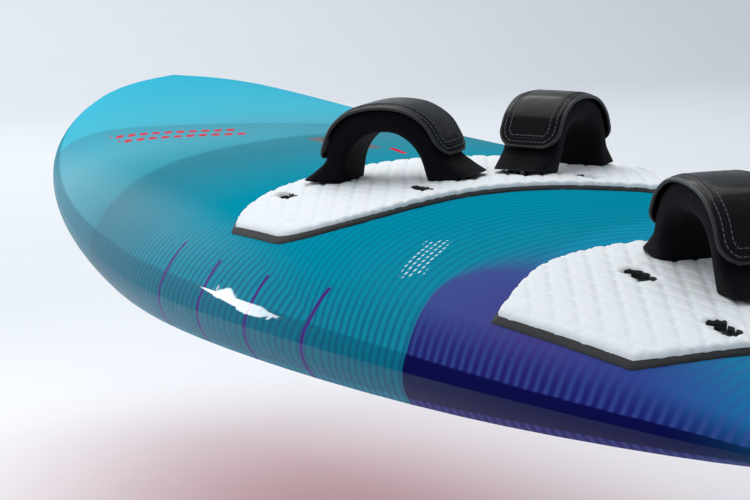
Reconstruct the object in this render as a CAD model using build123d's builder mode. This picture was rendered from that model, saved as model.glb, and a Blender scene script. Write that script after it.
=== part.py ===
from build123d import *
import math
import os

os.makedirs("parts", exist_ok=True)

# Modelled from the tail (x = 0) to the nose and from the flat bottom (z = 0) up, port side at +y.
# Every node is moved at export so that the mast track's middle, on the deck, is the origin.

# Hull
LENGTH = 2340
HALF_WIDTH = 340
WIDE_X = 1090
TAIL_SHARE = 0.33
THICKNESS = 142
THICK_X = 1080
NOSE_THICKNESS = 28
TAIL_THICKNESS = 36
SCOOP_X = 790
SCOOP = 177
KICK_X = 450
KICK = 10
DECK_CROWN = 0.26
DECK_ROLL = 0.42
RAIL_HEIGHT = 36
CREASE_INSET = 9
SKIN = 4
STATIONS = 14
HULL_SPAN = (0, 0.985)
CORE_SPAN = (0.06, 0.94)

# Foot straps, as (x, y, yaw) of the middle between the two screws
STRAP_PITCH = 150
FRONT_STRAP = (855, 87, 47.5)
REAR_STRAP = (291, 0, 0)
FRONT_OUTER_SHIFT = (-36, 56)
REAR_OUTER_SHIFT = (-52, 58)
SCREW_HOLE_PITCH = 13
SCREW_HOLES = 3
SCREW_R = 2.3
HOLE_R = 2.4
PLUG_WIDTH = 15
PLUG_DEPTH = 26
HOLE_DEPTH = 23

# Deck pads
PAD_BASE = 4
PAD_TOP = 5
PAD_RIM = 5
PAD_THICKNESS = PAD_BASE + PAD_TOP
PAD_GAP = 1.5
PAD_HOLE_R = 8

# Strap cross-section
WEBBING_WIDTH = 50
WEBBING_THICKNESS = 2.4
PADDING_WIDTH = 68
SLEEVE_CLEARANCE = 0.3
COVER_WIDTH = 74
COVER_THICKNESS = 3
PLATE_THICKNESS = 1.2
PLATE_LENGTH = 22
PLATE_WIDTH = 32
WASHER_THICKNESS = 1.4
WASHER_R = 8
SCREW_HEAD_R = 6
SCREW_HEAD_HEIGHT = 3
SCREW_LENGTH = 30
HARDWARE_GAP = 0.2
WASHER_GAP = 0.9

# Mast track
TRACK_X = 1340
TRACK_LENGTH = 200
TRACK_WIDTH = 44
TRACK_DEPTH = 34
TRACK_SLOT = 165
TRACK_SLOT_WIDTH = 12
TRACK_LIP = 8
CHANNEL_WIDTH = 26
CHANNEL_HEIGHT = 12
NUT_LENGTH = 40
NUT_GAP = 0.3
NUT_HOLE_R = 4

# Vent
VENT_X = 1075
VENT_R = 13
VENT_DEPTH = 22
VENT_SCREW_R = 5
VENT_HEAD_R = 8
VENT_HEAD_HEIGHT = 4

# Fin
FIN_X = 165
FIN_BOX_LENGTH = 140
FIN_BOX_WIDTH = 34
FIN_BOX_DEPTH = 50
FIN_HEAD_LENGTH = 116
FIN_HEAD_WIDTH = 16
FIN_HEAD_HEIGHT = 36
FIN_DEPTH = 370
FIN_BOLT_R = 3


def outline(x):
    """Half the plan width: a superellipse ahead of the widest point, a squash tail behind it."""
    if x > WIDE_X:
        s = (x - WIDE_X) / (LENGTH - WIDE_X)
        return HALF_WIDTH * (1 - s**2.21) ** 0.442
    s = (WIDE_X - x) / WIDE_X
    return HALF_WIDTH * (TAIL_SHARE + (1 - TAIL_SHARE) * (1 - s**1.82) ** 0.9)


def rocker(x):
    """Height of the bottom: flat in the middle, scooped up at the nose, a little kick at the tail."""
    scoop = SCOOP * max(0, (x - SCOOP_X) / (LENGTH - SCOOP_X)) ** 2.42
    return scoop + KICK * max(0, (KICK_X - x) / KICK_X) ** 2


def thickness(x):
    if x > THICK_X:
        s = (x - THICK_X) / (LENGTH - THICK_X)
        return NOSE_THICKNESS + (THICKNESS - NOSE_THICKNESS) * (1 - s**1.6) ** 0.9
    s = (THICK_X - x) / THICK_X
    return TAIL_THICKNESS + (THICKNESS - TAIL_THICKNESS) * (1 - s**2.4) ** 0.9


def rail_height(x):
    """Height of the rail's outermost line."""
    return rocker(x) + min(RAIL_HEIGHT, thickness(x) * 0.33)


def section(x, inset):
    """A crosswise section: a deck that rolls over to a crease, a tight rail and the bottom."""
    width = outline(x) - inset
    thick = thickness(x)
    top = rocker(x) + thick - inset
    crease = (width - min(CREASE_INSET, width * 0.1)) / width
    half_deck = []
    for share in (0, 0.35, 0.65, 0.85, crease):
        drop = DECK_CROWN * share**2 + DECK_ROLL * share**8
        half_deck.append((share * width, top - thick * drop))
    rail = (width, rail_height(x))
    edge = (width - min(14, width * 0.15), rocker(x) + inset + 3)
    keel = (0, rocker(x) + inset)
    with BuildSketch(Plane(origin=(x, 0, 0), x_dir=(0, 1, 0), z_dir=(1, 0, 0))) as face:
        with BuildLine():
            Spline(*[(-y, z) for y, z in reversed(half_deck[1:])], *half_deck)
            Spline(half_deck[-1], rail, edge)
            Spline(edge, keel, (-edge[0], edge[1]))
            Spline((-edge[0], edge[1]), (-rail[0], rail[1]), (-half_deck[-1][0], half_deck[-1][1]))
        make_face()
    return face.sketch


def hull_solid(span, inset):
    """A loft through sections that crowd together smoothly towards the tail and the nose."""
    with BuildPart() as body:
        for i in range(STATIONS):
            share = span[0] + (span[1] - span[0]) * i / (STATIONS - 1)
            add(section(LENGTH * (1 - math.cos(math.pi * share)) / 2, inset))
        loft()
    return body.part


outer = hull_solid(HULL_SPAN, 0)
inner = hull_solid(CORE_SPAN, SKIN)


def on_deck(x, y, yaw=0):
    """A plane lying on the deck at (x, y), with its x axis turned by yaw from the nose direction."""
    hits = outer.find_intersection_points(Axis((x, y, 600), (0, 0, -1)))
    point, normal = max(hits, key=lambda hit: hit[0].Z)
    along = Vector(math.cos(math.radians(yaw)), math.sin(math.radians(yaw)), 0)
    return Plane(origin=point, x_dir=along - normal * along.dot(normal), z_dir=normal)


FRAME = Location((-TRACK_X, 0, -on_deck(TRACK_X, 0).origin.Z))


def save(part, label):
    moved = part.moved(FRAME)
    moved.label = label
    export_step(moved, "parts/" + label + ".step")


# Places of the straps and of the rows of screw holes


def upright(place):
    """The plane across a strap's opening: x along the screws, y up from the pad."""
    pad = on_deck(*place).offset(PAD_THICKNESS + PAD_GAP)
    return Plane(origin=pad.origin, x_dir=pad.x_dir, z_dir=pad.x_dir.cross(pad.z_dir))


def strap_feet(place):
    """A plane on the pad at each of a strap's screws, with its z axis along the screw."""
    plane = upright(place)
    for side in (1, -1):
        yield Plane(origin=plane.from_local_coords((side * STRAP_PITCH / 2, 0, 0)),
                    x_dir=plane.x_dir, z_dir=plane.y_dir)


def fore_and_aft(plane, drop):
    """The same plane lowered, with its x axis turned to the nose, as rows of holes run."""
    nose = Vector(1, 0, 0)
    return Plane(origin=plane.origin - plane.z_dir * drop,
                 x_dir=nose - plane.z_dir * nose.dot(plane.z_dir), z_dir=plane.z_dir)


STRAPS = {
    "port_front_strap": FRONT_STRAP,
    "starboard_front_strap": (FRONT_STRAP[0], -FRONT_STRAP[1], -FRONT_STRAP[2]),
    "rear_strap": REAR_STRAP,
}
feet = [foot for place in STRAPS.values() for foot in strap_feet(place)]
strap_rows = [fore_and_aft(foot, PAD_THICKNESS + PAD_GAP) for foot in feet]
free_rows = []
for place, (shift_x, shift_y) in ((FRONT_STRAP, FRONT_OUTER_SHIFT), (REAR_STRAP, REAR_OUTER_SHIFT)):
    for foot in strap_feet(place):
        for side in (1, -1):
            free_rows.append(on_deck(foot.origin.X + shift_x, side * (foot.origin.Y + shift_y)))
all_rows = strap_rows + free_rows
ROW_LENGTH = SCREW_HOLE_PITCH * (SCREW_HOLES - 1)

# Screw-hole plugs: one moulded block for each row, flush with the deck

with BuildPart() as plug_blanks:
    for row in all_rows:
        with BuildSketch(row):
            SlotCenterToCenter(ROW_LENGTH, PLUG_WIDTH)
        extrude(amount=PLUG_DEPTH, both=True)
with BuildPart() as strap_plugs:
    add(plug_blanks.part)
    add(outer, mode=Mode.INTERSECT)
    for row in all_rows:
        with BuildSketch(row):
            with GridLocations(SCREW_HOLE_PITCH, 1, SCREW_HOLES, 1):
                Circle(HOLE_R)
        extrude(amount=HOLE_DEPTH, both=True, mode=Mode.SUBTRACT)

# Mast track: a slotted box with a channel under its lips, and the nut that slides in the channel

track_plane = on_deck(TRACK_X, 0)
with BuildPart() as track_blank:
    with BuildSketch(track_plane):
        RectangleRounded(TRACK_LENGTH, TRACK_WIDTH, 14)
    extrude(amount=TRACK_DEPTH, both=True)
with BuildPart() as mast_track_box:
    add(track_blank.part)
    add(outer, mode=Mode.INTERSECT)
    with BuildSketch(track_plane):
        SlotOverall(TRACK_SLOT, TRACK_SLOT_WIDTH)
    extrude(amount=TRACK_LIP + CHANNEL_HEIGHT, both=True, mode=Mode.SUBTRACT)
    with BuildSketch(track_plane.offset(-TRACK_LIP - CHANNEL_HEIGHT)):
        SlotOverall(TRACK_SLOT + CHANNEL_WIDTH - TRACK_SLOT_WIDTH, CHANNEL_WIDTH)
    extrude(amount=CHANNEL_HEIGHT, mode=Mode.SUBTRACT)
with BuildPart() as mast_nut:
    with BuildSketch(track_plane.offset(-TRACK_LIP - CHANNEL_HEIGHT + NUT_GAP)):
        RectangleRounded(NUT_LENGTH, CHANNEL_WIDTH - 2 * NUT_GAP, 3)
        Circle(NUT_HOLE_R, mode=Mode.SUBTRACT)
    extrude(amount=CHANNEL_HEIGHT - 2 * NUT_GAP)

# Vent: a threaded insert, the screw that shuts it and the ring under the screw's head

vent_plane = on_deck(VENT_X, 0)
with BuildPart() as vent_blank:
    with BuildSketch(vent_plane):
        Circle(VENT_R)
    extrude(amount=VENT_DEPTH, both=True)
with BuildPart() as vent_insert:
    add(vent_blank.part)
    add(outer, mode=Mode.INTERSECT)
    with BuildSketch(vent_plane):
        Circle(VENT_HEAD_R + 1)
    extrude(amount=VENT_HEAD_HEIGHT + 2, both=True, mode=Mode.SUBTRACT)
    with BuildSketch(vent_plane):
        Circle(VENT_SCREW_R + 0.3)
    extrude(amount=VENT_DEPTH - 4, both=True, mode=Mode.SUBTRACT)
with BuildPart() as vent_screw:
    with BuildSketch(vent_plane.offset(-VENT_HEAD_HEIGHT)):
        Circle(VENT_HEAD_R)
    extrude(amount=VENT_HEAD_HEIGHT)
    with BuildSketch(vent_plane.offset(-VENT_HEAD_HEIGHT)):
        Circle(VENT_SCREW_R)
    extrude(amount=-12)
    with BuildSketch(vent_plane):
        Rectangle(2 * VENT_HEAD_R, 2)
    extrude(amount=-1.6, mode=Mode.SUBTRACT)
with BuildPart() as vent_o_ring:
    with BuildSketch(vent_plane.offset(-VENT_HEAD_HEIGHT - 1.7)):
        Circle(VENT_SCREW_R + 2.2)
        Circle(VENT_SCREW_R + 0.2, mode=Mode.SUBTRACT)
    extrude(amount=1.4)

# Fin box, fin and the bolt that pulls the fin up from the deck side

bolt_top = on_deck(FIN_X, 0).origin.Z - 5
fin_bottom = rocker(FIN_X)
with BuildPart() as fin_box_blank:
    with BuildSketch(Plane.XY.offset(fin_bottom - 20)):
        with Locations((FIN_X, 0)):
            RectangleRounded(FIN_BOX_LENGTH, FIN_BOX_WIDTH, 12)
    extrude(amount=FIN_BOX_DEPTH + 20)
    with BuildSketch(Plane.XY.offset(fin_bottom)):
        with Locations((FIN_X, 0)):
            Circle(FIN_BOLT_R + 6)
    extrude(amount=THICKNESS)
with BuildPart() as fin_box:
    add(fin_box_blank.part)
    add(outer, mode=Mode.INTERSECT)
    with BuildSketch(Plane.XY.offset(fin_bottom - 20)):
        with Locations((FIN_X, 0)):
            RectangleRounded(FIN_HEAD_LENGTH + 1, FIN_HEAD_WIDTH + 1, 6)
    extrude(amount=FIN_HEAD_HEIGHT + 21, mode=Mode.SUBTRACT)
    with Locations((FIN_X, 0, fin_bottom)):
        Cylinder(FIN_BOLT_R + 0.2, 2 * THICKNESS, mode=Mode.SUBTRACT)
    with Locations((FIN_X, 0, bolt_top)):
        Cylinder(FIN_BOLT_R + 3.3, 20, align=(Align.CENTER, Align.CENTER, Align.MIN), mode=Mode.SUBTRACT)
with BuildPart() as fin_bolt:
    with Locations((FIN_X, 0, bolt_top)):
        Cylinder(FIN_BOLT_R + 3, 3.5, align=(Align.CENTER, Align.CENTER, Align.MIN))
        Cylinder(FIN_BOLT_R, bolt_top - fin_bottom - 18, align=(Align.CENTER, Align.CENTER, Align.MAX))
    with BuildSketch(Plane.XY.offset(bolt_top + 3.5)):
        with Locations((FIN_X, 0)):
            RegularPolygon(2.5, 6)
    extrude(amount=-2, mode=Mode.SUBTRACT)
with BuildPart() as fin_insert:
    with Locations((FIN_X, 0, fin_bottom + 12)):
        Cylinder(6, 20, align=(Align.CENTER, Align.CENTER, Align.MIN))
        Cylinder(FIN_BOLT_R + 0.1, 40, align=(Align.CENTER, Align.CENTER, Align.MIN), mode=Mode.SUBTRACT)
with BuildPart() as fin_head:
    with BuildSketch(Plane.XY.offset(fin_bottom + 0.5)):
        with Locations((FIN_X, 0)):
            RectangleRounded(FIN_HEAD_LENGTH, FIN_HEAD_WIDTH, 5)
    extrude(amount=FIN_HEAD_HEIGHT)
    with Locations((FIN_X, 0, fin_bottom + 12)):
        Cylinder(6, FIN_HEAD_HEIGHT, align=(Align.CENTER, Align.CENTER, Align.MIN), mode=Mode.SUBTRACT)


def foil(depth, lead, chord, thick):
    """One level of the fin: a blunt leading edge forward and a thin trailing edge aft."""
    with BuildSketch(Plane.XY.offset(fin_bottom - depth)) as face:
        with BuildLine():
            Spline((lead - chord, 0), (lead - chord * 0.6, thick * 0.38), (lead - chord * 0.3, thick / 2),
                   (lead, 0), (lead - chord * 0.3, -thick / 2), (lead - chord * 0.6, -thick * 0.38),
                   (lead - chord, 0))
        make_face()
    return face.sketch


with BuildPart() as fin_blade:
    add(foil(-0.4, FIN_X + 56, 112, 11))
    add(foil(120, FIN_X + 42, 104, 9.5))
    add(foil(240, FIN_X + 16, 84, 7.5))
    add(foil(330, FIN_X - 14, 58, 5.5))
    add(foil(FIN_DEPTH, FIN_X - 42, 26, 3.5))
    loft()

# Hull: foam core, deck skin and bottom skin, the skins meeting along the rail

seam = [(-30, rail_height(0))]
seam += [(x, rail_height(x)) for x in (180, 650, 1250, 1760, 2110, 2290)]
seam += [(LENGTH + 60, rail_height(LENGTH) + 15)]
with BuildPart() as below_seam:
    with BuildSketch(Plane.XZ):
        with BuildLine():
            Spline(*seam)
            Polyline(seam[-1], (seam[-1][0], -60), (seam[0][0], -60), seam[0])
        make_face()
    extrude(amount=HALF_WIDTH + 60, both=True)
fitted = [plug_blanks.part, track_blank.part, vent_blank.part, fin_box_blank.part]
with BuildPart() as foam_core:
    add(inner)
    for blank in fitted:
        add(blank, mode=Mode.SUBTRACT)
with BuildPart() as deck_shell:
    add(outer)
    add(inner, mode=Mode.SUBTRACT)
    add(below_seam.part, mode=Mode.SUBTRACT)
    for blank in fitted:
        add(blank, mode=Mode.SUBTRACT)
with BuildPart() as bottom_shell:
    add(outer)
    add(inner, mode=Mode.SUBTRACT)
    add(below_seam.part, mode=Mode.INTERSECT)
    add(fin_box_blank.part, mode=Mode.SUBTRACT)

# Deck pads: a black foam base with a narrower white foam top, both following the deck

FRONT_PAD_FORE = [(1013, 0), (1003, 60), (966, 137), (917, 211), (835, 268)]
FRONT_PAD_AFT = [(733, 253), (700, 235), (684, 205), (683, 165), (706, 106), (725, 48), (730, 0)]
REAR_PAD_FORE = [(417, 0), (414, 52), (391, 113), (349, 155), (318, 184)]
REAR_PAD_AFT = [(152, 139), (136, 116), (122, 70), (114, 0)]


def pad_outline(fore, aft, inset):
    """The pad's plan shape, drawn on the port side, pulled in on every side by the inset and mirrored."""
    middle = (fore[0][0] + aft[-1][0]) / 2
    shrink_x = 1 - inset / (fore[0][0] - middle)
    shrink_y = 1 - inset / fore[-1][1]
    fore = [(middle + (x - middle) * shrink_x, y * shrink_y) for x, y in fore]
    aft = [(middle + (x - middle) * shrink_x, y * shrink_y) for x, y in aft]
    with BuildSketch() as face:
        with BuildLine():
            curve = Spline(*[(x, -y) for x, y in reversed(fore[1:])], *fore)
            back = Spline(*aft, *[(x, -y) for x, y in reversed(aft[:-1])])
            Line(curve @ 1, back @ 0)
            Line(curve @ 0, back @ 1)
        make_face()
    return face.sketch


def pad_layer(shape, inset, low, high):
    """A layer of a pad between two heights above the deck, open over the screws and the fin bolt."""
    face = pad_outline(*shape, inset)
    with BuildPart() as layer:
        extrude(face, amount=400, both=True)
        add(outer.moved(Location((0, 0, high))), mode=Mode.INTERSECT)
        add(outer.moved(Location((0, 0, low))), mode=Mode.SUBTRACT)
        for row in all_rows:
            with BuildSketch(row):
                with GridLocations(SCREW_HOLE_PITCH, 1, SCREW_HOLES, 1):
                    Circle(PAD_HOLE_R)
            extrude(amount=30, both=True, mode=Mode.SUBTRACT)
        with Locations((FIN_X, 0, bolt_top)):
            Cylinder(PAD_HOLE_R, 60, mode=Mode.SUBTRACT)
    return layer


FRONT_PAD = (FRONT_PAD_FORE, FRONT_PAD_AFT)
REAR_PAD = (REAR_PAD_FORE, REAR_PAD_AFT)
front_pad_base = pad_layer(FRONT_PAD, 0, 0, PAD_BASE)
front_pad_top = pad_layer(FRONT_PAD, PAD_RIM, PAD_BASE, PAD_THICKNESS)
rear_pad_base = pad_layer(REAR_PAD, 0, 0, PAD_BASE)
rear_pad_top = pad_layer(REAR_PAD, PAD_RIM, PAD_BASE, PAD_THICKNESS)

# Foot straps: webbing screwed down at both ends, a thick padded sleeve and an outer cover.
# Each is drawn across the strap's opening, with the pad's surface at height 0.

WEB_LOW = PLATE_THICKNESS + HARDWARE_GAP
WEB_HIGH = WEB_LOW + WEBBING_THICKNESS
WEB_MIDDLE = (WEB_LOW + WEB_HIGH) / 2
WEBBING_FLAT = [(x, WEB_MIDDLE) for x in (92, 86, 80, 74, 69)]
WEBBING_HALF = WEBBING_FLAT + [(61, 8), (57, 24), (46, 46), (26, 61.5), (0, 66.5)]
SLEEVE_INSIDE = [(45, 0), (43, 18), (34, 34), (19, 45.5), (0, 49.5)]
SLEEVE_OUTSIDE = [(97.5, 3.2), (84, 13), (68, 24), (61, 39), (50, 56.5), (28, 69.5), (0, 73.5)]
SLEEVE_END = 98.5
COVER_HALF = [(71, 25), (64, 40.5), (53, 58.5), (30, 72.5), (0, 76.7)]
SCREW_SEAT = WEB_HIGH + WASHER_GAP + WASHER_THICKNESS + HARDWARE_GAP
POCKET_HEIGHT = SCREW_SEAT + SCREW_HEAD_HEIGHT + 0.4


def both_sides(points):
    """A half curve that ends on the middle line, continued by its mirror image."""
    return points + [(-x, z) for x, z in reversed(points[:-1])]


def web_loop(place, clearance):
    """The solid that the webbing fills, or with a clearance the space that the sleeve leaves for it."""
    with BuildPart() as part:
        with BuildSketch(upright(place)):
            with BuildLine() as path:
                Spline(*both_sides(WEBBING_HALF), tangents=((-1, 0), (-1, 0)))
            trace(path.line, WEBBING_THICKNESS + 2 * clearance)
        extrude(amount=WEBBING_WIDTH / 2 + clearance, both=True)
    return part.part


def webbing(place):
    with BuildPart() as part:
        add(web_loop(place, 0))
        for foot in strap_feet(place):
            with BuildSketch(foot):
                Circle(SCREW_R + 0.3)
            extrude(amount=WEB_HIGH + 2, mode=Mode.SUBTRACT)
    return part


def sleeve(place):
    """The padded sleeve: flared round feet, with room inside for the webbing and the screw heads."""
    plane = upright(place)
    with BuildPart() as part:
        with BuildSketch(plane):
            with BuildLine():
                over = Spline(*both_sides(SLEEVE_OUTSIDE))
                under = Spline(*both_sides(SLEEVE_INSIDE))
                Polyline(over @ 0, (SLEEVE_END, 0), under @ 0)
                Polyline(over @ 1, (-SLEEVE_END, 0), under @ 1)
            make_face()
        extrude(amount=PADDING_WIDTH / 2, both=True)
        with BuildSketch(Plane(origin=plane.origin, x_dir=plane.x_dir, z_dir=plane.y_dir)):
            SlotOverall(2 * SLEEVE_END, PADDING_WIDTH)
        extrude(amount=120, mode=Mode.INTERSECT)
        for foot in strap_feet(place):
            with BuildSketch(foot):
                RectangleRounded(PLATE_LENGTH + 1, PLATE_WIDTH + 1, 3)
            extrude(amount=POCKET_HEIGHT, mode=Mode.SUBTRACT)
        add(web_loop(place, SLEEVE_CLEARANCE), mode=Mode.SUBTRACT)
    return part


def cover(place):
    with BuildPart() as part:
        with BuildSketch(upright(place)):
            with BuildLine() as path:
                Spline(*both_sides(COVER_HALF))
            trace(path.line, COVER_THICKNESS)
        extrude(amount=COVER_WIDTH / 2, both=True)
    return part


straps = {}
for name, place in STRAPS.items():
    straps[name + "_webbing"] = webbing(place)
    straps[name + "_padding"] = sleeve(place)
    straps[name + "_cover"] = cover(place)

# Strap hardware: a toothed plate under each end of the webbing, a washer and a screw above it

with BuildPart() as strap_plates:
    for foot in feet:
        with BuildSketch(foot):
            RectangleRounded(PLATE_LENGTH, PLATE_WIDTH, 3)
            Circle(SCREW_R + 0.3, mode=Mode.SUBTRACT)
        extrude(amount=PLATE_THICKNESS)
with BuildPart() as strap_washers:
    for foot in feet:
        with BuildSketch(foot.offset(WEB_HIGH + WASHER_GAP)):
            Circle(WASHER_R)
            Circle(SCREW_R + 0.2, mode=Mode.SUBTRACT)
        extrude(amount=WASHER_THICKNESS)
with BuildPart() as strap_screws:
    for foot in feet:
        with BuildSketch(foot.offset(SCREW_SEAT)):
            Circle(SCREW_HEAD_R)
        extrude(amount=SCREW_HEAD_HEIGHT)
        with BuildSketch(foot.offset(SCREW_SEAT)):
            Circle(SCREW_R)
        extrude(amount=-SCREW_LENGTH)

nodes = {
    "foam_core": foam_core,
    "deck_shell": deck_shell,
    "bottom_shell": bottom_shell,
    "strap_plugs": strap_plugs,
    "mast_track_box": mast_track_box,
    "mast_nut": mast_nut,
    "vent_insert": vent_insert,
    "vent_screw": vent_screw,
    "vent_o_ring": vent_o_ring,
    "fin_box": fin_box,
    "fin_bolt": fin_bolt,
    "fin_insert": fin_insert,
    "fin_head": fin_head,
    "fin_blade": fin_blade,
    "front_pad_base": front_pad_base,
    "front_pad_top": front_pad_top,
    "rear_pad_base": rear_pad_base,
    "rear_pad_top": rear_pad_top,
    "strap_plates": strap_plates,
    "strap_washers": strap_washers,
    "strap_screws": strap_screws,
}
nodes.update(straps)
for label, node in nodes.items():
    save(node.part, label)
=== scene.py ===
"""The looks of a windsurf board: lacquered hull, embossed deck pads, padded foot straps and a pale studio."""

import math

import bpy
import numpy as np
from mathutils import Matrix, Vector
from mathutils.bvhtree import BVHTree


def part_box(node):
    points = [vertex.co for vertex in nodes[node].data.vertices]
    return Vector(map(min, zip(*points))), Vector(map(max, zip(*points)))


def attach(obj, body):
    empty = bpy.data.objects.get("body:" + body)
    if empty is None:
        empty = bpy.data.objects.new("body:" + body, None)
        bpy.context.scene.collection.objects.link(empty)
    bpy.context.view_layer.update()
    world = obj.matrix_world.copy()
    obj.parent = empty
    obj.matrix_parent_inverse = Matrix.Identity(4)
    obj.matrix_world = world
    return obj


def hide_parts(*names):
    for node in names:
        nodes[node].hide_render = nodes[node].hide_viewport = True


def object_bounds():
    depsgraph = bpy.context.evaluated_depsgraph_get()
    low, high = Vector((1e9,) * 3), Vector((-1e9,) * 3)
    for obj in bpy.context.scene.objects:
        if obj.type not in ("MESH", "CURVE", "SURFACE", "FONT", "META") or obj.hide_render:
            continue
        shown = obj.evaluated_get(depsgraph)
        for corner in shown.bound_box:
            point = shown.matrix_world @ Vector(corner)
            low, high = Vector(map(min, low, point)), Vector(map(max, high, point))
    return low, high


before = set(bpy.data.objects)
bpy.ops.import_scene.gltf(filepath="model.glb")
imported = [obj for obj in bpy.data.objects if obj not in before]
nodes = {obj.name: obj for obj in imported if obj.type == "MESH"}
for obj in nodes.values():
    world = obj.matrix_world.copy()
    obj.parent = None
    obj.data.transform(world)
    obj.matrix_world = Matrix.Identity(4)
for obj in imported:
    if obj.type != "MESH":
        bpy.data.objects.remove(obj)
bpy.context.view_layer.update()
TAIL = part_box("deck_shell")[0].x

# Driving dimensions, in metres and degrees

STRAP_YAW = {"port_front_strap": 47.5, "starboard_front_strap": -47.5, "rear_strap": 0.0}
STRAP_LIFT = 0.0105    # from the deck skin to the plane that a strap stands on
FOOT_SINK = -0.0035    # the padding's feet reach this far below that plane, into the pad

# Half profiles of a strap, as (along, up), from its foot to the top of its arch
PADDING_INSIDE = [(0.044, -0.004), (0.042, 0.018), (0.033, 0.034), (0.018, 0.045), (0.0, 0.048)]
PADDING_OUTSIDE = [(0.096, 0.001), (0.081, 0.010), (0.067, 0.021), (0.0615, 0.039), (0.051, 0.057),
                   (0.029, 0.0705), (0.0, 0.0747)]
COVER_PATH = [(0.071, 0.023), (0.0645, 0.040), (0.0535, 0.058), (0.031, 0.0723), (0.0, 0.0767)]
PADDING_WIDTH = 0.062
COVER_WIDTH = 0.067
COVER_THICKNESS = 0.003
COVER_CORNER = 0.020
COVER_BOW = 0.0035     # how far the cover's long edges bend down
PIPING_R = 0.0019
PANEL_EDGE_R = 0.0009
PANEL_INSET = 0.0085
STITCH_ROWS = (0.0052, 0.0115)
STITCH_LENGTH = 0.0034
STITCH_PITCH = 0.0047
STITCH_R = 0.00045

PAD_STEP = 0.0022      # the grid over a pad's top
PAD_TOP_THICKNESS = 0.005
PAD_TOP_ROUND = 0.0016
PAD_BASE_THICKNESS = 0.004
PAD_BASE_ROUND = 0.0022
BLOCK_LENGTH = 0.053
BLOCK_WIDTH = 0.0182
BLOCK_DEPTH = 0.0013
BLOCK_GROOVE = 0.13    # a groove's share of a block
HOLE_REACH = 0.022     # from the wall of a screw hole, this far off diagonally is pad again

FLOOR_GAP = 0.004      # the fin's tip stands this far above the floor
CAMERA_AIM = (0.4811, 0.2273, -0.0283)    # from the tail
CAMERA_AZIMUTH = 17.016
CAMERA_ELEVATION = 6.936
CAMERA_ROLL = -2.263
CAMERA_DISTANCE = 1.869
CAMERA_LENS = 105.6


# Shader values


def linear(red, green, blue):
    """A colour given in 0 to 255 screen values, as the shader wants it."""
    shares = [c / 255 for c in (red, green, blue)]
    return tuple(s / 12.92 if s < 0.04045 else ((s + 0.055) / 1.055) ** 2.4 for s in shares) + (1.0,)


class Value:
    """A number inside a material's node tree, with ordinary arithmetic."""

    def __init__(self, tree, socket):
        self.tree = tree
        self.socket = socket

    def math(self, operation, *others):
        node = self.tree.nodes.new("ShaderNodeMath")
        node.operation = operation
        for socket, value in zip(node.inputs, (self, *others)):
            plug(self.tree, socket, value)
        return Value(self.tree, node.outputs[0])

    def __add__(self, other):
        return self.math("ADD", other)

    def __sub__(self, other):
        return self.math("SUBTRACT", other)

    def __mul__(self, other):
        return self.math("MULTIPLY", other)

    def abs(self):
        return self.math("ABSOLUTE")

    def rising(self, low, high):
        """0 below low, 1 above high and smooth between."""
        node = self.tree.nodes.new("ShaderNodeMapRange")
        node.interpolation_type = "SMOOTHSTEP"
        plug(self.tree, node.inputs["Value"], self)
        plug(self.tree, node.inputs["From Min"], low)
        plug(self.tree, node.inputs["From Max"], high)
        return Value(self.tree, node.outputs["Result"])

    def falling(self, low, high):
        return self.rising(low, high) * -1 + 1

    def within(self, centre, half, soft):
        """1 where the value is within half of centre, with soft edges."""
        return (self - centre).abs().falling(half - soft, half + soft)

    def stripes(self, pitch, share, soft):
        """1 on a share of every pitch, with edges soft by that share of a pitch."""
        wave = (self * (1 / pitch)).math("FRACT")
        return wave.within(0.5, share / 2, soft)


def plug(tree, socket, value):
    if isinstance(value, Value):
        tree.links.new(value.socket, socket)
    else:
        socket.default_value = value


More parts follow.
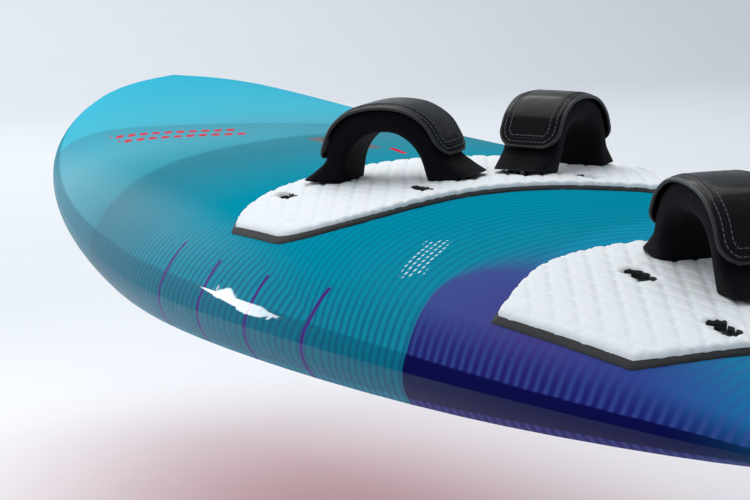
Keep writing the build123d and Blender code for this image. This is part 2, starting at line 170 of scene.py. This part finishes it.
class Look:
    """A material being made."""

    def __init__(self, name, **inputs):
        self.material = bpy.data.materials.new(name)
        self.material.use_nodes = True
        self.tree = self.material.node_tree
        self.shader = self.tree.nodes["Principled BSDF"]
        self.point = self.tree.nodes.new("ShaderNodeTexCoord").outputs["Object"]
        parts = self.tree.nodes.new("ShaderNodeSeparateXYZ")
        self.tree.links.new(self.point, parts.inputs[0])
        self.x, self.y, self.z = (Value(self.tree, out) for out in parts.outputs)
        for key, value in inputs.items():
            self.set(key.replace("_", " "), value)

    def set(self, socket, value):
        plug(self.tree, self.shader.inputs[socket], value)

    def mix(self, factor, first, second):
        node = self.tree.nodes.new("ShaderNodeMix")
        node.data_type = "RGBA"
        plug(self.tree, node.inputs[0], factor)
        plug(self.tree, node.inputs[6], first)
        plug(self.tree, node.inputs[7], second)
        return Value(self.tree, node.outputs[2])

    def ramp(self, value, stops):
        """A colour that goes through the stops, as (value, colour), from the lowest value up."""
        low, high = stops[0][0], stops[-1][0]
        node = self.tree.nodes.new("ShaderNodeValToRGB")
        plug(self.tree, node.inputs[0], (value - low) * (1 / (high - low)))
        elements = node.color_ramp.elements
        for _ in stops[2:]:
            elements.new(0.5)
        for element, (place, colour) in zip(elements, stops):
            element.position = (place - low) / (high - low)
            element.color = colour
        return Value(self.tree, node.outputs[0])

    def noise(self, scale, detail=2.0, stretch=(1, 1, 1)):
        place = self.tree.nodes.new("ShaderNodeMapping")
        place.inputs["Scale"].default_value = stretch
        self.tree.links.new(self.point, place.inputs[0])
        node = self.tree.nodes.new("ShaderNodeTexNoise")
        self.tree.links.new(place.outputs[0], node.inputs["Vector"])
        node.inputs["Scale"].default_value = scale
        node.inputs["Detail"].default_value = detail
        return Value(self.tree, node.outputs[0])

    def cells(self, scale):
        node = self.tree.nodes.new("ShaderNodeTexVoronoi")
        self.tree.links.new(self.point, node.inputs["Vector"])
        node.inputs["Scale"].default_value = scale
        return Value(self.tree, node.outputs["Distance"])

    def bump(self, height, distance, strength=1.0):
        node = self.tree.nodes.new("ShaderNodeBump")
        node.inputs["Strength"].default_value = strength
        node.inputs["Distance"].default_value = distance
        plug(self.tree, node.inputs["Height"], height)
        self.set("Normal", Value(self.tree, node.outputs[0]))


# Deck and rail print. x runs from the tail, y to port, and the print's level lines sweep forward inboard.

LENGTH = 2.34
HALF_WIDTH = 0.34
WIDE_X = 1.09               # the board is widest here
TAIL_SHARE = 0.33           # the tail's width as a share of the widest
TAIL_POWERS = (1.82, 0.9)   # the outline from the widest place back
NOSE_POWERS = (2.21, 0.442)
ARC = 2.4                   # how strongly the level lines sweep
ARC_END = 0.27              # they run straight across outside this half width
PURPLE_AT = 0.515           # where the blue meets the purple tail
PINSTRIPE_PITCH = 0.0146
RAIL_BAR_PITCH = 0.1265
CORAL_ROW_PITCH = 0.060
CORAL_BLOCK_PITCH = 0.0185

DECK_STOPS = [(0.30, linear(30, 140, 165)), (0.62, linear(0, 144, 170)), (0.95, linear(0, 150, 174)),
              (1.30, linear(56, 152, 170)), (1.62, linear(88, 170, 188)), (1.90, linear(76, 180, 202)),
              (2.34, linear(56, 176, 204))]
TAIL_STOPS = [(0.0, linear(30, 104, 180)), (0.14, linear(56, 72, 150)),
              (0.26, linear(74, 66, 138)), (0.50, linear(68, 92, 152))]
NOSE_BAND = linear(70, 128, 146)
MIDDLE_BAND = linear(52, 104, 122)
SWOOSH = linear(24, 152, 186)
RAIL_BLUE = linear(0, 92, 116)
RAIL_PURPLE = linear(30, 26, 108)
RAIL_NAVY = linear(14, 16, 74)
PINSTRIPE_BLUE = linear(24, 84, 118)
PINSTRIPE_PURPLE = linear(62, 84, 158)
BAR_PURPLE = linear(74, 44, 132)
DASH_WHITE = linear(225, 240, 245)
STROKE_RED = linear(205, 44, 62)
BLOCK_CORAL = linear(205, 60, 78)


def hull_share(x, side):
    """How far out a point is, as a share of half the hull's width there."""
    aft = (x - WIDE_X).math("MINIMUM", 0).abs() * (1 / WIDE_X)
    ahead = (x - WIDE_X).math("MAXIMUM", 0) * (1 / (LENGTH - WIDE_X))
    rear = (aft.math("POWER", TAIL_POWERS[0]) * -1 + 1).math("POWER", TAIL_POWERS[1])
    front = (ahead.math("POWER", NOSE_POWERS[0]) * -1 + 1).math("POWER", NOSE_POWERS[1])
    return side.math("DIVIDE", (rear * (1 - TAIL_SHARE) + TAIL_SHARE) * front * HALF_WIDTH)


def nose_curve(x, y):
    """The lines that the nose band's edge and the coral rows follow."""
    return x - y * 0.6 - y * y


def deck_blues(look, x, y, sweep):
    """Blues along the board, with a darker band at the nose and amidships and a bright swoosh aft."""
    paint = look.ramp(x, DECK_STOPS)
    line = nose_curve(x, y)
    band = line.falling(1.678, 1.686) * line.rising(1.40, 1.70)
    paint = look.mix(band * 0.42, paint, NOSE_BAND)
    line = x + y * 0.3 + y * y
    band = line.falling(1.475, 1.50) * line.rising(1.05, 1.50)
    paint = look.mix(band * 0.45, paint, MIDDLE_BAND)
    return look.mix((sweep + y * 0.55).falling(0.49, 0.515) * 0.7, paint, SWOOSH)


def rail_bars(x, side):
    """Thin slanting bars on both rails, from the edge of the deck outwards."""
    end = (x - 0.93) * (x - 0.93) * -0.34 + 0.297
    slant = x + side * 0.35 - 0.108
    bars = (slant - 0.467).stripes(RAIL_BAR_PITCH, 0.055, 0.006) * slant.within(0.72, 0.25, 0.001)
    return bars * (side - end).rising(-0.001, 0.001)


def dashes(x, y):
    """A small slanting patch of short dashes beside the rear pad."""
    along = (x - 0.5115) * 0.75 - (y - 0.1725) * 0.66
    aside = (x - 0.5115) * 0.66 + (y - 0.1725) * 0.75
    patch = along.within(0, 0.044, 0.0005) * (aside - along * 0.1).within(0, 0.013, 0.0005)
    return patch * (along + aside * 0.5).stripes(0.0095, 0.5, 0.05) * aside.stripes(0.0068, 0.3, 0.06)


def stroke(x, y):
    """One thin stroke along the middle line, ahead of the front pad."""
    return x.within(1.195, 0.040, 0.001) * (y + 0.02 + (x - 1.15) * 0.1).within(0, 0.0035, 0.0006)


def coral_blocks(x, y):
    """Rows of plain blocks on the port side of the nose."""
    line = nose_curve(x, y)
    rows = (line - 1.50).stripes(CORAL_ROW_PITCH, 0.50, 0.02) * (line - 1.56).within(0, 0.075, 0.0005)
    blocks = (y + x * 0.3).stripes(CORAL_BLOCK_PITCH, 0.62, 0.03) * (y - 0.14).within(0, 0.075, 0.0005)
    return rows * blocks


def deck_paint(look):
    """The whole print, for the deck and for the bottom skin's rail."""
    x = look.x - TAIL
    y = look.y
    side = y.abs()
    inner = side.math("MINIMUM", ARC_END)
    sweep = x + inner * inner * ARC
    share = hull_share(x, side)
    rail = share.rising(0.80, 0.97)
    below = share.rising(0.966, 0.974)

    blue = look.mix(below * 0.55, deck_blues(look, x, y, sweep), RAIL_BLUE)
    deep = look.mix(rail * 0.85, look.ramp(x, TAIL_STOPS), RAIL_PURPLE)
    deep = look.mix(below * 0.95, deep, RAIL_NAVY)
    width = side.falling(0.05, 0.20) * 0.16 + 0.004
    purple = (sweep - PURPLE_AT + width * 0.5).math("DIVIDE", width).falling(-0.5, 0.5)
    paint = look.mix(purple * side.rising(0.02, 0.15), blue, deep)

    lines = sweep.stripes(PINSTRIPE_PITCH, 0.42, 0.16)
    strength = x.falling(1.05, 1.55) * 0.30 + rail * x.falling(0.9, 2.0) * 0.35
    strength = strength * (below * purple * -1 + 1)
    paint = look.mix(lines * strength, paint, look.mix(purple, PINSTRIPE_BLUE, PINSTRIPE_PURPLE))

    paint = look.mix(rail_bars(x, side), paint, BAR_PURPLE)
    paint = look.mix(dashes(x, y), paint, DASH_WHITE)
    paint = look.mix(stroke(x, y), paint, STROKE_RED)
    return look.mix(coral_blocks(x, y) * 0.95, paint, BLOCK_CORAL)


def lacquer(name):
    look = Look(name, Roughness=0.38, Coat_Roughness=0.04, Specular_IOR_Level=0.0)
    look.bump(look.noise(900, 2), 0.0001, 0.35)
    return look


deck_look = lacquer("deck_print")
deck_look.set("Base Color", deck_paint(deck_look))
satin = deck_look.y.abs().falling(0.24, 0.31)
deck_look.set("Roughness", satin * 0.12 + 0.30)
deck_look.set("Coat Weight", satin * -0.32 + 0.32)

# The bottom is coral where it faces down, and its edge carries the rail's print
bottom_look = lacquer("bottom_print")
bottom_normal = bottom_look.tree.nodes.new("ShaderNodeNewGeometry").outputs["Normal"]
bottom_parts = bottom_look.tree.nodes.new("ShaderNodeSeparateXYZ")
bottom_look.tree.links.new(bottom_normal, bottom_parts.inputs[0])
facing = Value(bottom_look.tree, bottom_parts.outputs[2])
coral = bottom_look.mix(bottom_look.noise(3, 2), linear(206, 36, 52), linear(226, 58, 66))
bottom_look.set("Base Color", bottom_look.mix(facing.falling(-0.93, -0.88), deck_paint(bottom_look), coral))
bottom_look.set("Coat Weight", 0.32)


def plain(name, dark, light, scale, grain, depth, **inputs):
    """A material of two close tones, broken up by noise, with a fine grain."""
    look = Look(name, **inputs)
    look.set("Base Color", look.mix(look.noise(scale, 3), dark, light))
    look.bump(look.noise(grain, 3), depth)
    return look.material


black_plastic = plain("black_plastic", linear(16, 16, 18), linear(26, 26, 28), 60, 1500, 0.0001,
                      Roughness=0.45)
steel = plain("steel", linear(150, 150, 152), linear(180, 180, 182), 90, 900, 0.00004,
              Metallic=1.0, Roughness=0.28)
brass = plain("brass", linear(170, 128, 60), linear(196, 152, 80), 90, 900, 0.00004,
              Metallic=1.0, Roughness=0.3)
ring = plain("ring_rubber", linear(12, 12, 12), linear(20, 20, 20), 80, 1500, 0.0001, Roughness=0.7)
fin_resin = plain("fin_laminate", linear(14, 16, 20), linear(26, 32, 40), 22, 700, 0.00003,
                  Roughness=0.18, Coat_Weight=0.6)
core_foam = plain("core_foam", linear(232, 230, 222), linear(244, 243, 238), 120, 500, 0.0004, Roughness=0.9)
pad_black = plain("pad_black", linear(30, 31, 33), linear(44, 45, 47), 220, 1600, 0.0002, Roughness=0.75)
pad_white = plain("pad_white", linear(236, 240, 243), linear(245, 248, 250), 160, 1800, 0.00018,
                  Roughness=0.62, Subsurface_Weight=0.08, Subsurface_Scale=0.002)

neoprene_look = Look("neoprene", Roughness=0.85, Specular_IOR_Level=0.10, Sheen_Weight=0.02)
cloth_tones = (linear(7, 5, 10), linear(14, 11, 18))
neoprene_look.set("Base Color", neoprene_look.mix(neoprene_look.noise(70, 3), *cloth_tones))
neoprene_look.bump(neoprene_look.cells(1500) * 0.5 + neoprene_look.noise(110, 3) * 2.0, 0.0004)
neoprene = neoprene_look.material

leather_look = Look("leather", Specular_IOR_Level=0.05, Coat_Weight=0.22, Coat_Roughness=0.12)
leather_look.set("Base Color", leather_look.mix(leather_look.noise(60, 4), linear(3, 3, 5), linear(8, 8, 10)))
leather_look.set("Roughness", leather_look.noise(45, 4) * 0.25 + 0.24)
creases = leather_look.noise(55, 5, (1, 1, 0.5)) * 3.0
leather_look.bump(creases + leather_look.cells(900) * 0.35, 0.0006, 0.8)
leather = leather_look.material

piping = plain("piping", linear(15, 15, 18), linear(24, 24, 27), 120, 1200, 0.0001, Roughness=0.42)
# Mid grey instead of the black thread: the lighter tone is a painted highlight for the thread's gloss
thread = plain("thread", linear(70, 70, 76), linear(110, 110, 116), 300, 2500, 0.0001, Roughness=0.5)

NODE_LOOKS = {
    "deck_shell": deck_look.material,
    "bottom_shell": bottom_look.material,
    "foam_core": core_foam,
    "mast_nut": steel,
    "fin_bolt": steel,
    "strap_plates": steel,
    "strap_washers": steel,
    "strap_screws": steel,
    "fin_insert": brass,
    "vent_o_ring": ring,
    "fin_head": fin_resin,
    "fin_blade": fin_resin,
}
for name, node in nodes.items():
    node.data.materials.clear()
    node.data.materials.append(NODE_LOOKS.get(name, black_plastic))


# Geometry helpers


def ray_tree(node):
    """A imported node's triangles, ready for rays."""
    mesh = nodes[node].data
    return BVHTree.FromPolygons([v.co for v in mesh.vertices], [p.vertices for p in mesh.polygons])


def land(tree, x, y):
    """The first point of a node straight below (x, y), or None beside it."""
    return tree.ray_cast(Vector((x, y, 2)), Vector((0, 0, -1)))[0]


def piece(name, points, faces, material):
    """A mesh of the board's body, with one material to start with."""
    mesh = bpy.data.meshes.new(name)
    mesh.from_pydata([tuple(p) for p in points], [], faces)
    mesh.materials.append(material)
    mesh.shade_smooth()
    obj = bpy.data.objects.new(name, mesh)
    bpy.context.scene.collection.objects.link(obj)
    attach(obj, "board")
    return obj


def curve(points, count):
    """Points evenly along a smooth curve that passes through the given ones."""
    p = np.array(points, float)
    p = np.vstack([2 * p[0] - p[1], p, 2 * p[-1] - p[-2]])
    fine = []
    for a, b, c, d in zip(p, p[1:], p[2:], p[3:]):
        for t in np.linspace(0, 1, 24, endpoint=False):
            fine.append(0.5 * (2 * b + (c - a) * t + (2 * a - 5 * b + 4 * c - d) * t**2
                               + (3 * b - a - 3 * c + d) * t**3))
    fine.append(p[-2])
    fine = np.array(fine)
    run = np.concatenate([[0], np.cumsum(np.linalg.norm(np.diff(fine, axis=0), axis=1))])
    return np.column_stack([np.interp(np.linspace(0, run[-1], count), run, fine[:, i])
                            for i in range(fine.shape[1])])


def arch(half, count):
    """A half profile and its mirror image as one smooth curve, from the +x foot to the -x foot."""
    return curve(half + [(-x, z) for x, z in reversed(half[:-1])], count)


def loft(rings, caps=True):
    """Faces over rings of points, given as (ring, point, xyz), closed round each ring."""
    count, around = rings.shape[:2]
    faces = []
    for i in range(count - 1):
        for j in range(around):
            k = (j + 1) % around
            faces.append((i * around + j, i * around + k, (i + 1) * around + k, (i + 1) * around + j))
    if caps:
        faces.append(tuple(range(around)))
        faces.append(tuple(reversed(range((count - 1) * around, count * around))))
    return rings.reshape(-1, 3), faces


def tube(line, radius, around=8):
    """Rings round an open line."""
    line = np.asarray(line, float)
    tangent = np.gradient(line, axis=0)
    tangent /= np.linalg.norm(tangent, axis=1)[:, None] + 1e-12
    guide = np.cross(tangent[0], [0.3, 0.5, 0.8])
    rings = []
    for point, direction in zip(line, tangent):
        guide = guide - direction * (guide @ direction)
        guide /= np.linalg.norm(guide)
        other = np.cross(direction, guide)
        angles = np.linspace(0, 2 * math.pi, around, endpoint=False)
        rings.append([point + radius * (guide * math.cos(a) + other * math.sin(a)) for a in angles])
    return loft(np.array(rings))


def join(meshes):
    """Several (points, faces) as one."""
    points, faces = [], []
    for some, these in meshes:
        base = len(points)
        points.extend(some)
        faces.extend(tuple(i + base for i in f) for f in these)
    return points, faces


# Deck pads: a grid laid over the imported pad, trimmed to its edge and skirted down


def blocks(x, y):
    """Height of the embossed diamonds, from 0 in the grooves to 1."""
    height = 1.0
    for sign in (1, -1):
        share = (x / BLOCK_LENGTH + sign * y / BLOCK_WIDTH) % 1.0
        height = np.minimum(height, np.clip((0.5 - np.abs(share - 0.5)) / BLOCK_GROOVE - 0.25, 0, 1))
    return height * height * (3 - 2 * height)


def push_to_edge(tree, x, y, near, step):
    """Moves a rim point out to the pad's real edge. near says which points round it are on the pad."""
    across, up = (size // 2 for size in near.shape)
    gi, gj = np.mgrid[-across:across + 1, -up:up + 1]
    out = np.array([(gi * ~near).sum(), (gj * ~near).sum()], float)
    size = np.linalg.norm(out)
    if size == 0:
        return x, y
    out /= size
    reach, span = 0.0, 1.6 * step
    for _ in range(7):
        span /= 2
        ahead = reach + span
        if land(tree, x + out[0] * ahead, y + out[1] * ahead) is not None:
            reach = ahead
    return x + out[0] * reach, y + out[1] * reach


def pad_grid(tree, low, high, step):
    """Grid points over a pad with their index, the grid's full cells, and which points lie on its rim."""
    xs = np.arange(low.x - step, high.x + 2 * step, step)
    ys = np.arange(low.y - step, high.y + 2 * step, step)
    inside = np.array([[land(tree, x, y) is not None for y in ys] for x in xs])
    cells = inside[:-1, :-1] & inside[1:, :-1] & inside[:-1, 1:] & inside[1:, 1:]
    around = np.zeros(inside.shape, int)
    for i, j in ((0, 0), (1, 0), (0, 1), (1, 1)):
        around[i:i + cells.shape[0], j:j + cells.shape[1]] += cells
    index = -np.ones(inside.shape, int)
    places, rim = [], []
    for i, j in zip(*np.nonzero(around)):
        x, y = xs[i], ys[j]
        if around[i, j] < 4:
            near = inside[max(i - 2, 0):i + 3, max(j - 2, 0):j + 3]
            x, y = push_to_edge(tree, x, y, near, step)
            rim.append(len(places))
        index[i, j] = len(places)
        places.append((x, y))
    return np.array(places), index, cells, rim


def rim_gaps(places, rim):
    """How far each grid point is from the rim."""
    border = places[rim]
    gaps = np.full(len(places), 1.0)
    for chunk in np.array_split(border, max(1, len(border) // 200)):
        gaps = np.minimum(gaps, np.linalg.norm(places[:, None, :] - chunk[None, :, :], axis=2).min(1))
    return gaps


def pad_tops(tree, places, gaps, relief, round_edge):
    """The grid points on the pad's surface, with its rounded edges and embossed blocks."""
    tops = []
    for (x, y), gap in zip(places, gaps):
        hit = land(tree, x, y)
        height = hit.z if hit is not None else tops[-1][2]
        inner = max(0.0, 1 - gap / round_edge)
        height -= round_edge * (1 - math.sqrt(max(0.0, 1 - inner * inner)))
        height -= relief * BLOCK_DEPTH * (1 - blocks(x, y))
        tops.append((x, y, height))
    return tops


def in_hole(tree, point):
    """Whether a wall point belongs to a screw hole and not to the pad's outline."""
    return all(land(tree, point[0] + dx, point[1] + dy)
               for dx in (-HOLE_REACH, HOLE_REACH) for dy in (-HOLE_REACH, HOLE_REACH))


def foam(name, node, thickness, step, relief, round_edge, material):
    """A pad layer: a grid on its top and walls down its edges, with the black foam on the walls inside the
    screw holes as painted shade.
    """
    tree = ray_tree(node)
    places, index, cells, rim = pad_grid(tree, *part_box(node), step)
    tops = pad_tops(tree, places, rim_gaps(places, rim), relief, round_edge)
    faces, used = [], {}
    for i, j in zip(*np.nonzero(cells)):
        face = (index[i, j], index[i + 1, j], index[i + 1, j + 1], index[i, j + 1])
        faces.append(tuple(int(k) for k in face))
        for a, b in zip(face, face[1:] + face[:1]):
            used[(a, b)] = True
    skirt, painted_shade_walls = {}, []
    points = list(tops)
    for a, b in [e for e in used if (e[1], e[0]) not in used]:
        for k in (a, b):
            if k not in skirt:
                skirt[k] = len(points)
                x, y, z = tops[k]
                points.append((x, y, z - thickness + round_edge))
        faces.append((int(b), int(a), skirt[a], skirt[b]))
        if in_hole(tree, tops[a]):
            painted_shade_walls.append(len(faces) - 1)
    obj = piece(name, points, faces, material)
    obj.data.materials.append(pad_black)
    # On the white top layer this black on the hole walls is painted shade; its outer walls are the same white
    # foam
    for wall in painted_shade_walls:
        obj.data.polygons[wall].material_index = 1
    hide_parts(node)
    return obj


for pad in ("front_pad", "rear_pad"):
    foam(pad + "_edge", pad + "_base", PAD_BASE_THICKNESS, PAD_STEP * 1.4, 0, PAD_BASE_ROUND,
         pad_black)
    foam(pad + "_blocks", pad + "_top", PAD_TOP_THICKNESS, PAD_STEP, 1, PAD_TOP_ROUND,
         pad_white)


# Foot straps

deck_tree = ray_tree("deck_shell")


def strap_matrix(name):
    """The strap's own frame: x along its screws, y across it and z up from the pad."""
    low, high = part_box(name + "_padding")
    yaw = math.radians(STRAP_YAW[name])
    along = Vector((math.cos(yaw), math.sin(yaw), 0)) * 0.03
    across = Vector((-math.sin(yaw), math.cos(yaw), 0)) * 0.03
    middle = (low + high) / 2

    def deck(offset):
        return land(deck_tree, middle.x + offset.x, middle.y + offset.y)

    x_axis = (deck(along) - deck(-along)).normalized()
    z_axis = x_axis.cross(deck(across) - deck(-across)).normalized()
    y_axis = z_axis.cross(x_axis)
    origin = deck(Vector((0, 0, 0))) + z_axis * STRAP_LIFT
    return Matrix((x_axis, y_axis, z_axis)).transposed().to_4x4(), origin


def place(points, matrix, origin):
    """Points of a strap's own frame, moved to where the strap stands."""
    turn = np.array(matrix)[:3, :3]
    return np.asarray(points) @ turn.T + np.array(origin)


def padding_mesh():
    """The padded roll: its section swings from the flared foot up into the arch."""
    count, around = 90, 40
    inside, outside = arch(PADDING_INSIDE, count), arch(PADDING_OUTSIDE, count)
    rings = np.zeros((count, around, 3))
    for i in range(count):
        middle, half = (inside[i] + outside[i]) / 2, (outside[i] - inside[i]) / 2
        share = abs(2 * i / (count - 1) - 1)
        width = PADDING_WIDTH / 2 * (1 - 0.05 * share**8)
        for j in range(around):
            a = 2 * math.pi * j / around
            c = math.copysign(abs(math.cos(a)) ** 0.55, math.cos(a))
            s = math.copysign(abs(math.sin(a)) ** 0.55, math.sin(a))
            swell = 1 + 0.16 * math.exp(-((abs(s) - 0.82) / 0.12) ** 2) * (c < 0) * (1 - share**4)
            x, z = middle + half * c * swell
            rings[i, j] = (x, s * width, max(z, FOOT_SINK))
    return loft(rings)


def cover_line(count):
    """The cover's middle line with its outward normals and the distance run along it."""
    path = arch(COVER_PATH, count)
    tangent = np.gradient(path, axis=0)
    tangent /= np.linalg.norm(tangent, axis=1)[:, None]
    normal = np.column_stack([tangent[:, 1], -tangent[:, 0]])
    if normal[count // 2][1] < 0:
        normal = -normal
    run = np.concatenate([[0], np.cumsum(np.linalg.norm(np.diff(path, axis=0), axis=1))])
    return path, normal, run


def cover_half_width(run, length, inset=0.0):
    """Half the cover's width at a distance along it, with round corners at both ends."""
    corner = COVER_CORNER - inset
    gap = np.minimum(run, length - run) - inset
    cut = np.clip(corner - gap, 0, corner)
    return COVER_WIDTH / 2 - inset - (corner - np.sqrt(np.maximum(corner**2 - cut**2, 0)))


def on_cover(path, normal, i, across, lift):
    """A point on the cover, which bows down towards its long edges."""
    bow = -COVER_BOW * (across / (COVER_WIDTH / 2)) ** 4
    x, z = path[i] + normal[i] * (bow + lift)
    return (x, across, z)


def cover_mesh():
    """The leather cover, as a sheet of even thickness over the arch."""
    count, across = 120, 30
    path, normal, run = cover_line(count)
    half = cover_half_width(run, run[-1])
    rings = np.zeros((count, 2 * across, 3))
    for i in range(count):
        for j in range(across):
            share = 2 * j / (across - 1) - 1
            rings[i, j] = on_cover(path, normal, i, share * half[i], COVER_THICKNESS / 2)
            rings[i, 2 * across - 1 - j] = on_cover(path, normal, i, share * half[i], -COVER_THICKNESS / 2)
    return loft(rings)


def cover_loop(inset, lift):
    """The line round the cover at a distance inside its edge."""
    path, normal, run = cover_line(240)
    half = cover_half_width(run, run[-1], inset)
    keep = [i for i in range(240) if inset <= run[i] <= run[-1] - inset]
    loop = [on_cover(path, normal, i, half[i], lift) for i in keep]
    loop += [on_cover(path, normal, i, -half[i], lift) for i in reversed(keep)]
    loop.append(loop[0])
    return curve(loop, 500)


def stitches(inset):
    """Short threads in a row round the cover."""
    loop = cover_loop(inset, COVER_THICKNESS / 2 + 0.0001)
    run = np.concatenate([[0], np.cumsum(np.linalg.norm(np.diff(loop, axis=0), axis=1))])
    threads = []
    for start in np.arange(0, run[-1] - STITCH_LENGTH, STITCH_PITCH):
        spots = np.linspace(start, start + STITCH_LENGTH, 4)
        line = np.column_stack([np.interp(spots, run, loop[:, k]) for k in range(3)])
        threads.append(tube(line, STITCH_R, 6))
    return join(threads)


padding = padding_mesh()
cover = cover_mesh()
pipe = tube(cover_loop(0.0006, 0.0), PIPING_R, 10)
panel = tube(cover_loop(PANEL_INSET, COVER_THICKNESS / 2 - 0.0004), PANEL_EDGE_R, 8)
threads = join([stitches(inset) for inset in STITCH_ROWS])
for name in STRAP_YAW:
    matrix, origin = strap_matrix(name)

    def strap_piece(part, mesh, material):
        points, faces = mesh
        return piece(name + part, place(points, matrix, origin), faces, material)

    roll = strap_piece("_roll", padding, neoprene)
    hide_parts(name + "_padding", name + "_webbing")
    skin = strap_piece("_skin", cover, leather)
    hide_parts(name + "_cover")
    strap_piece("_piping", pipe, piping)
    strap_piece("_panel_edge", panel, leather)
    strap_piece("_stitches", threads, thread)


# Studio

PAPER_HALF_WIDTH = 14.0
BEND_X = 10.5
BEND_R = 2.5
WALL_TOP = 9.0

floor_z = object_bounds()[0].z - FLOOR_GAP
paper = Look("studio_paper", Roughness=0.9)
paper.set("Base Color", paper.mix(paper.noise(2, 2), linear(236, 239, 242), linear(240, 242, 245)))
# The paper's line, as (x, height): flat floor, a rounded bend and a wall far behind the nose
bend = [(-PAPER_HALF_WIDTH, 0.0), (BEND_X, 0.0)]
for a in np.linspace(0.1, math.pi / 2, 14):
    bend.append((BEND_X + BEND_R * math.sin(a), BEND_R - BEND_R * math.cos(a)))
bend += [(BEND_X + BEND_R, WALL_TOP)]
sweep_points = [(x, y, z + floor_z) for x, z in bend for y in (-PAPER_HALF_WIDTH, PAPER_HALF_WIDTH)]
sweep_faces = [(2 * i, 2 * i + 1, 2 * i + 3, 2 * i + 2) for i in range(len(bend) - 1)]
mesh = bpy.data.meshes.new("backdrop")
mesh.from_pydata(sweep_points, [], sweep_faces)
mesh.materials.append(paper.material)
mesh.shade_smooth()
backdrop = bpy.data.objects.new("backdrop", mesh)
bpy.context.scene.collection.objects.link(backdrop)

world = bpy.data.worlds.new("studio")
world.use_nodes = True
world.node_tree.nodes["Background"].inputs["Color"].default_value = (0.86, 0.93, 1.0, 1.0)
world.node_tree.nodes["Background"].inputs["Strength"].default_value = 0.50
bpy.context.scene.world = world


def softbox(name, position, aim, size, power):
    """A rectangular lamp that faces from position to aim."""
    light = bpy.data.lights.new(name, "AREA")
    light.shape = "RECTANGLE"
    light.size, light.size_y = size
    light.energy = power
    obj = bpy.data.objects.new(name, light)
    obj.location = position
    obj.rotation_mode = "QUATERNION"
    obj.rotation_quaternion = (Vector(position) - Vector(aim)).to_track_quat("Z", "Y")
    bpy.context.scene.collection.objects.link(obj)


softbox("overhead", (0.6, 0.2, 3.2), (0.2, 0.0, 0.0), (4.0, 3.0), 66)
softbox("back_wall", (7.0, 0.0, 6.0), (9.5, 0.0, 0.0), (5.0, 7.0), 300)
softbox("rail_glint", (1.46, 1.40, 0.56), (-0.67, 0.30, -0.10), (0.40, 0.26), 7.5)
softbox("side_fill", (-1.2, 3.2, 1.2), (-0.2, 0.0, 0.0), (2.5, 1.2), 10)


def aim_camera():
    data = bpy.data.cameras.new("camera")
    data.sensor_width = 36
    data.lens = CAMERA_LENS
    data.clip_end = 100
    camera = bpy.data.objects.new("camera", data)
    bpy.context.scene.collection.objects.link(camera)
    azimuth, elevation = math.radians(CAMERA_AZIMUTH), math.radians(CAMERA_ELEVATION)
    look_along = Vector((math.cos(azimuth) * math.cos(elevation), -math.sin(azimuth) * math.cos(elevation),
                         -math.sin(elevation)))
    aim = Vector((TAIL, 0, 0)) + Vector(CAMERA_AIM)
    camera.location = aim - look_along * CAMERA_DISTANCE
    turn = look_along.to_track_quat("-Z", "Y").to_matrix().to_4x4() @ Matrix.Rotation(
        math.radians(CAMERA_ROLL), 4, "Z")
    camera.rotation_euler = turn.to_euler()
    bpy.context.scene.camera = camera


aim_camera()
scene = bpy.context.scene
scene.view_settings.view_transform = "Standard"
scene.view_settings.exposure = 0.0
